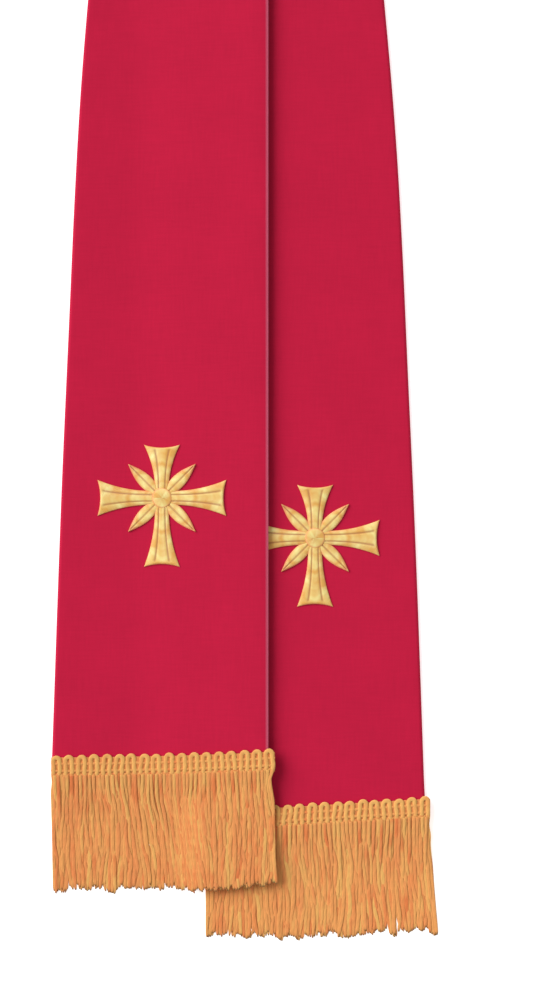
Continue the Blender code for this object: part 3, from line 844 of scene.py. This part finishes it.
def fringe_skins(half, settings):
    """The loop yarns with the strands that their legs run down into, and the layers of strands beneath."""
    chance = np.random.default_rng(half.seed)
    leg = FRINGE_LENGTH / LOOPS / 4
    centres = (np.arange(LOOPS) + 0.5) * leg * 4 - half.overhang
    roots = [np.stack([centres - leg, centres + leg], -1).ravel()]
    starts = [header_point(half, roots[0], LEG_START, settings.loop / LOOP_SQUASH)]
    widths = [np.full(len(roots[0]), settings.yarn * LEG_SHARE)]
    between = FRINGE_LENGTH - 2 * STRANDS_INSET
    for layer in STRAND_LAYERS:
        spread = np.arange(layer.count) + 0.5 + chance.uniform(-0.25, 0.25, layer.count)
        roots.append(STRANDS_INSET + spread / layer.count * between - half.overhang)
        starts.append(header_point(half, roots[-1], layer.start, layer.height))
        widths.append(np.full(layer.count, settings.yarn * layer.share))
    roots, starts, widths = (np.concatenate(part) for part in (roots, starts, widths))
    fall = np.linspace(0.0, 1.0, settings.levels)[:, None]
    bulge = 1 + STRAND_BULGE * np.sin(BULGE_RATE * fall + chance.uniform(0, 2 * math.pi, len(roots)))
    thinner = 1 - TIP_THINNER * smooth(fall * 5 - 4)
    radius = widths * chance.uniform(0.90, 1.10, len(roots)) * bulge * thinner
    is_leg = np.arange(len(roots)) < 2 * LOOPS
    leaving = (1 - smooth(fall * half.strand_outer / LEAVING_HEADER)) * is_leg
    radius = mix(radius, settings.loop, leaving)
    path = strand_paths(half, settings, chance, roots, starts, radius)
    rise = radius / mix(settings.squash, LOOP_SQUASH, leaving)
    tint = chance.uniform(0, 1, len(roots)) + 0 * fall
    tint = mix(tint, chance.uniform(0.5, 1, len(roots)), leaving)
    tip = smooth((fall - TIP_DARK_FROM) / TIP_DARK_EASES) + 0 * tint
    radius, rise, tint, tip = (values.T[..., None] for values in (radius, rise, tint, tip))
    rows = np.concatenate([path, radius, rise, tint, tip, path[..., :1] * 0], -1)
    legs = rows[: 2 * LOOPS].reshape(LOOPS, 2, *rows.shape[1:])
    arch = loop_arches(half, settings, chance, centres, leg)
    plain = np.broadcast_to([settings.loop, settings.loop / LOOP_SQUASH, 0.8, 0.0, 0.0], (*arch.shape[:2], 5))
    over = np.concatenate([arch, plain], -1)
    loops = np.concatenate([legs[:, 0, ::-1], over, legs[:, 1]], axis=1)
    beneath = rows[2 * LOOPS :]
    # Painted shade: each layer beneath takes its share of the redder gold.
    depth = np.concatenate([np.full(layer.count, layer.depth) for layer in STRAND_LAYERS])
    beneath[..., 7] = depth[:, None]
    return [yarn_skin(loops, 12, True), yarn_skin(beneath, 8, False)]


def yarn_skin(rows, sides, both_ends):
    """Tubes of yarn from rows of their place, half width, half height, tint, darkening, and share of the redder
    gold painted as shade.
    """
    path = rows[..., :3]
    end = tip_rounded(path)
    if both_ends:
        end = np.minimum(end, tip_rounded(path[:, ::-1])[:, ::-1])
    grid, uv = tube(path, rows[..., 3] * end, rows[..., 4] * end, sides)
    tint, tip, depth = (rows[..., k, None] for k in (5, 6, 7))
    return skin(grid, uv, tint=tint, tip=tip, depth=depth)


def heading_skins(half, settings):
    """The woven tape behind the loops, and the binding yarns that cross between their legs in two rows."""
    across = np.linspace(TAPE_INSET, FRINGE_LENGTH - TAPE_INSET, 240) - half.overhang
    rise = np.array([0.0, 0.35, 0.7, 1.0])
    above = mix(*TAPE_RISES, np.concatenate([rise, rise[::-1]]))
    height = np.array(TAPE_HEIGHTS)
    grid = header_point(half, across[:, None] + 0 * above, above + 0 * across[:, None], height)
    uv = np.stack(np.broadcast_arrays(np.append(above, above[0]), across[:, None]), -1)
    # Painted shade: the tape is darkened and reddened, as it lies in shade behind the loops.
    tape = skin(grid[None], uv[None], tint=0.2, tip=0.12, depth=0.5)
    wave = np.sin(across * 4 * math.pi * LOOPS / FRINGE_LENGTH)
    rows = np.array(BINDING_ROWS)[:, None] + BINDING_WAVE * wave
    path = header_point(half, across + 0 * rows, rows, BINDING_HEIGHT + 0 * rows)
    radius = np.full(path.shape[:2], settings.binding)
    grid, uv = tube(path, radius, radius * 0.7, 8)
    # Painted shade: the binding takes a little of the redder gold of the shade between the legs.
    return [tape, skin(grid, uv, tint=0.5, tip=0.0, depth=0.2)]


# The embroidered cross


def limb_skin(half, turn, reach, widths, height, notch, veins):
    """One satin-stitched limb as a grid of rows along it and a ring round it: domed above, flat below. Its
    end is drawn in by the notch at the middle, and each vein is a groove at a share of the width."""
    angle = math.radians(turn)
    ahead = np.array([math.sin(angle), math.cos(angle)])
    aside = np.array([math.cos(angle), -math.sin(angle)])
    share = (1 - (1 - np.linspace(0.0, 1.0, LIMB_ROWS)) ** 1.3)[:, None]
    across = -np.cos(math.pi * (np.arange(LIMB_POINTS) + 0.5) / LIMB_POINTS)
    ring = np.concatenate([across, across[::-1]])
    upper = np.concatenate([np.ones(LIMB_POINTS), np.zeros(LIMB_POINTS)])
    wide = widths(share)
    distance = reach * share - notch * (1 - ring**2) * share**6
    blunt = np.sqrt(np.clip(1 - ((share - 0.955) / 0.045).clip(0, 1) ** 2, 0.02, 1))
    dome = np.clip(1 - np.abs(ring) ** 2.6, 0, 1) ** 0.55
    groove = sum(np.exp(-(((ring - place) * wide / GROOVE_HALF) ** 2)) for place in veins)
    groove = groove * smooth((share - 0.10) / 0.08) * smooth((0.97 - share) / 0.06)
    rise = (LIMB_EDGE + height * dome * blunt * (1 - GROOVE_DEPTH * groove)) * upper
    flat = distance[..., None] * ahead + (wide * ring)[..., None] * aside
    x, y = in_plan(half, half.emblem_up + flat[..., 1], EMBLEM_ACROSS + flat[..., 0])
    grid = np.stack([x, y, lift(half, x, y) + CLOTH + LIMB_BASE + rise], -1)
    slanted = distance + np.abs(ring) * wide * STITCH_SLANT
    uv = np.stack([wide * ring + 0 * distance, slanted], -1)
    uv = np.concatenate([uv, uv[:, :1]], axis=1)
    # Painted shade: a band along each limb's sides and over its end, for the orange edge colour.
    at_sides = smooth((np.abs(ring) - 1 + PAINTED_EDGE_BAND / np.maximum(wide, PAINTED_EDGE_BAND)) * 2.2)
    rim = np.maximum(at_sides, smooth((share - 0.975) / 0.02))
    return skin(grid[None], uv[None], rim=rim * 0.9, vein=groove * upper)


def arm_width(share):
    """Half width of an arm: the hub's, flared by the square of the distance past it."""
    past = np.clip((share - ARM_WAIST) / (1 - ARM_WAIST), 0, 1)
    return HUB_HALF * (0.86 + 0.14 * smooth(share / ARM_WAIST)) + ARM_FLARE * past**2


def leaf_width(share):
    """Half width of a leaf: a sine from its waist at the hub to its point."""
    past = np.clip((share - 0.15) / 0.85, 0, 1)
    return LEAF_HALF * np.sin(math.pi * mix(LEAF_START, 1.0, past)) + 0.00008


def boss_skin(half, radius):
    """The round boss over the hub: a dome of rings, its pattern running round it."""
    turns = np.linspace(0, 2 * math.pi, BOSS_SIDES + 1)[:-1]
    slopes = np.linspace(0.02, math.pi / 2, 10)
    rings = np.append(np.sin(slopes), 1.0)
    rise = np.append(BOSS_EDGE + BOSS_RISE * np.cos(slopes), BOSS_BASE)
    x, y = radius * rings[:, None] * np.cos(turns), radius * rings[:, None] * np.sin(turns)
    px, py = in_plan(half, half.emblem_up + y, EMBLEM_ACROSS + x)
    grid = np.stack([px, py, lift(half, px, py) + CLOTH + rise[:, None] + 0 * x], -1)
    around = np.append(turns, 2 * math.pi) * radius
    uv = np.stack(np.broadcast_arrays(rings[:, None] * radius, around), -1)
    # Painted shade: an orange ring round the boss's edge.
    return skin(grid[None], uv[None], rim=smooth((rings - 0.84) / 0.1)[:, None] * 0.7, vein=0.0)


# Settings, operators and the panel


def colour_setting(name, description, default):
    return FloatVectorProperty(name=name, description=description, subtype="COLOR", default=default, min=0, max=1)


def length_setting(name, description, default):
    return FloatProperty(name=name, description=description, default=default, unit="LENGTH")


class ClothSettings(bpy.types.PropertyGroup):
    colour: colour_setting("Colour", "The cloth's red", (0.526, 0.0092, 0.0470))
    # The edge colour is a painted highlight on the rolled inner edge.
    painted_edge_colour: colour_setting("Edge colour", "Where the rolled edge catches light", (0.90, 0.17, 0.29))
    thread: length_setting("Thread", "From thread to thread of the weave", 0.00048)
    relief: length_setting("Relief", "Depth of the weave", 0.000010)
    edge: length_setting("Edge", "Roundness of the rolled edges", 0.0019)
    columns: IntProperty(name="Columns", description="Points across the face", default=46, min=8)


class FringeSettings(bpy.types.PropertyGroup):
    amber: colour_setting("Amber", "The redder of the yarn's colours", (0.81, 0.325, 0.108))
    yellow: colour_setting("Yellow", "The paler of the yarn's colours", (0.83, 0.485, 0.147))
    # The deep colour is painted shade for the lower layers, the tape and the binding.
    painted_shade_colour: colour_setting("Deep", "The yarn in the lowest layer", (0.81, 0.325, 0.103))
    red: colour_setting("Red", "The reddest streaks in the yarn", (0.75, 0.185, 0.055))
    yarn: length_setting("Yarn", "Half the width of a strand", 0.00094)
    squash: FloatProperty(name="Squash", description="A strand's width over its height", default=11.0, min=1)
    loop: length_setting("Loop yarn", "Half the width of the loops' yarn", 0.00126)
    binding: length_setting("Binding", "Half the width of the binding yarn", 0.00080)
    ply_turn: length_setting("Ply turn", "Length of one turn of the twist", 0.0052)
    ply_relief: length_setting("Ply relief", "Depth between the plies", 0.00004)
    lean: length_setting("Lean", "How far the middle strands lean to the right", 0.0040)
    clump: length_setting("Clump", "From clump to clump at the tips", 0.0060)
    levels: IntProperty(name="Levels", description="Points down each strand", default=46, min=8)


class MotifSettings(bpy.types.PropertyGroup):
    colour: colour_setting("Gold", "The thread's gold", (0.84, 0.44, 0.095))
    # Light gold is a painted highlight, laid on in patches.
    light: colour_setting("Light gold", "The thread where it shines", (1.0, 0.88, 0.34))
    # The edge colour here is painted shade along the limbs' and the boss's edges.
    painted_edge_colour: colour_setting("Edge", "The thread at a limb's edge", (0.90, 0.34, 0.14))
    vein_colour: colour_setting("Vein", "The outline thread in the grooves", (0.46, 0.155, 0.048))
    thread: length_setting("Thread", "From stitch to stitch", 0.00042)
    boss: length_setting("Boss", "Radius of the boss over the hub", 0.0056)


class StageSettings(bpy.types.PropertyGroup):
    floor_colour: colour_setting("Floor", "Colour of the surface", (0.86, 0.86, 0.86))
    floor_glow: FloatProperty(name="Floor glow", description="Light from within the surface", default=0.60)
    sky: FloatProperty(name="Sky", description="Strength of the even light", default=0.45)
    key: FloatProperty(name="Key", description="Strength of the light from the upper left", default=3.04)
    key_height: FloatProperty(
        name="Key height",
        description="Angle of the key over the surface",
        default=math.radians(36),
        subtype="ANGLE",
    )
    key_turn: FloatProperty(
        name="Key turn",
        description="Where the key comes from, clockwise from the neck",
        default=math.radians(-58),
        subtype="ANGLE",
    )
    key_spread: FloatProperty(
        name="Key spread",
        description="Softness of the key",
        default=math.radians(44),
        subtype="ANGLE",
    )
    lens: FloatProperty(name="Lens", description="Focal length", default=85.0, subtype="DISTANCE_CAMERA")
    frame_height: length_setting("Frame", "Height of the view on the cloth", 0.5594)
    centre: FloatVectorProperty(
        name="Centre",
        description="What the camera looks straight down at",
        size=3,
        default=(0.0147, -0.4083, 0.0035),
        subtype="TRANSLATION",
    )


class STOLE_OT_lay_cloth(bpy.types.Operator):
    """Lay both halves of the cloth, the left one over the right"""

    bl_idname = "stole.lay_cloth"
    bl_label = "Lay the cloth"

    def execute(self, context):
        settings = context.scene.stole_cloth
        material = cloth_material(settings)
        for half in HALVES:
            piece(f"{half.name}_cloth", [cloth_skin(half, settings)], material, "red_cloth", f"{half.name}_half")
        return {"FINISHED"}


class STOLE_OT_hang_fringes(bpy.types.Operator):
    """Sew a looped fringe along each hem"""

    bl_idname = "stole.hang_fringes"
    bl_label = "Hang the fringes"

    def execute(self, context):
        settings = context.scene.stole_fringe
        yarn = yarn_material(settings)
        for half in HALVES:
            node = f"{half.name}_fringe"
            piece(f"{half.name}_yarns", fringe_skins(half, settings), yarn, "gold_fringe", node)
            piece(f"{half.name}_heading", heading_skins(half, settings), yarn, "gold_fringe", node)
        return {"FINISHED"}


class STOLE_OT_stitch_crosses(bpy.types.Operator):
    """Stitch a leaved cross on each half"""

    bl_idname = "stole.stitch_crosses"
    bl_label = "Stitch the crosses"

    def execute(self, context):
        settings = context.scene.stole_motif
        material = thread_material(settings)
        for half in HALVES:
            skins = []
            for arm in ARMS:
                leaf = (LEAF_LENGTH, leaf_width, LEAF_RISE, 0.0, LEAF_VEINS)
                skins.append(limb_skin(half, arm.turn + 45, *leaf))
                flared = (arm.reach, arm_width, ARM_RISE, ARM_NOTCH, ARM_VEINS)
                skins.append(limb_skin(half, arm.turn, *flared))
            skins.append(boss_skin(half, settings.boss))
            piece(f"{half.name}_cross", skins, material, "gold_thread", f"{half.name}_emblem")
        return {"FINISHED"}


class STOLE_OT_set_stage(bpy.types.Operator):
    """Set out the floor, the lights and the camera"""

    bl_idname = "stole.set_stage"
    bl_label = "Set the stage"

    def execute(self, context):
        settings = context.scene.stole_stage
        scene = context.scene
        mesh = bpy.data.meshes.new("floor")
        square = ((-1, -1), (1, -1), (1, 1), (-1, 1))
        corners = [(x * FLOOR_HALF, y * FLOOR_HALF, FLOOR_LEVEL) for x, y in square]
        mesh.from_pydata(corners, [], [(0, 1, 2, 3)])
        mesh.materials.append(floor_material(settings))
        floor = bpy.data.objects.new("floor", mesh)
        scene.collection.objects.link(floor)
        world = bpy.data.worlds.new("even light")
        world.use_nodes = True
        background = world.node_tree.nodes["Background"]
        background.inputs["Color"].default_value = (1.0, 1.0, 1.0, 1.0)
        background.inputs["Strength"].default_value = settings.sky
        scene.world = world
        sun = bpy.data.lights.new("key", "SUN")
        sun.energy = settings.key
        sun.angle = settings.key_spread
        key = bpy.data.objects.new("key", sun)
        key.rotation_euler = (math.pi / 2 - settings.key_height, 0.0, math.pi - settings.key_turn)
        scene.collection.objects.link(key)
        lens = bpy.data.cameras.new("camera")
        lens.lens = settings.lens
        camera = bpy.data.objects.new("camera", lens)
        distance = settings.frame_height / 2 * settings.lens / (lens.sensor_width / 2)
        camera.location = (settings.centre[0], settings.centre[1], settings.centre[2] + distance)
        scene.collection.objects.link(camera)
        scene.camera = camera
        scene.view_settings.view_transform = "Standard"
        return {"FINISHED"}


class STOLE_PT_panel(bpy.types.Panel):
    """The stole's pieces and their settings"""

    bl_label = "Stole"
    bl_idname = "STOLE_PT_panel"
    bl_space_type = "VIEW_3D"
    bl_region_type = "UI"
    bl_category = "Stole"

    def draw(self, context):
        for key, operator in zip(SETTINGS, OPERATORS):
            box = self.layout.box()
            box.operator(operator.bl_idname)
            settings = getattr(context.scene, key)
            for name in settings.bl_rna.properties.keys():
                if name not in ("rna_type", "name"):
                    box.prop(settings, name)


SETTINGS = {
    "stole_stage": StageSettings,
    "stole_cloth": ClothSettings,
    "stole_fringe": FringeSettings,
    "stole_motif": MotifSettings,
}
OPERATORS = (STOLE_OT_set_stage, STOLE_OT_lay_cloth, STOLE_OT_hang_fringes, STOLE_OT_stitch_crosses)


def register():
    for made in (*SETTINGS.values(), *OPERATORS, STOLE_PT_panel):
        bpy.utils.register_class(made)
    for key, group in SETTINGS.items():
        setattr(bpy.types.Scene, key, PointerProperty(type=group))


def unregister():
    for key in SETTINGS:
        delattr(bpy.types.Scene, key)
    for made in reversed((*SETTINGS.values(), *OPERATORS, STOLE_PT_panel)):
        bpy.utils.unregister_class(made)


def declare_sheets():
    """Works out each half of the cloth as the sheet it was cut as: its length, and the area between its edges
    from its widths; neither is kept.
    """
    for half in HALVES:
        length = run_of(half) + band_length(half)
        rows = np.linspace(0.0, length, 400)
        area = float(np.trapz(width_at(rows), rows))


def main():
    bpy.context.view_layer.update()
    register()
    bpy.ops.stole.set_stage()
    bpy.ops.stole.lay_cloth()
    bpy.ops.stole.hang_fringes()
    bpy.ops.stole.stitch_crosses()
    declare_sheets()


if __name__ == "__main__":
    main()
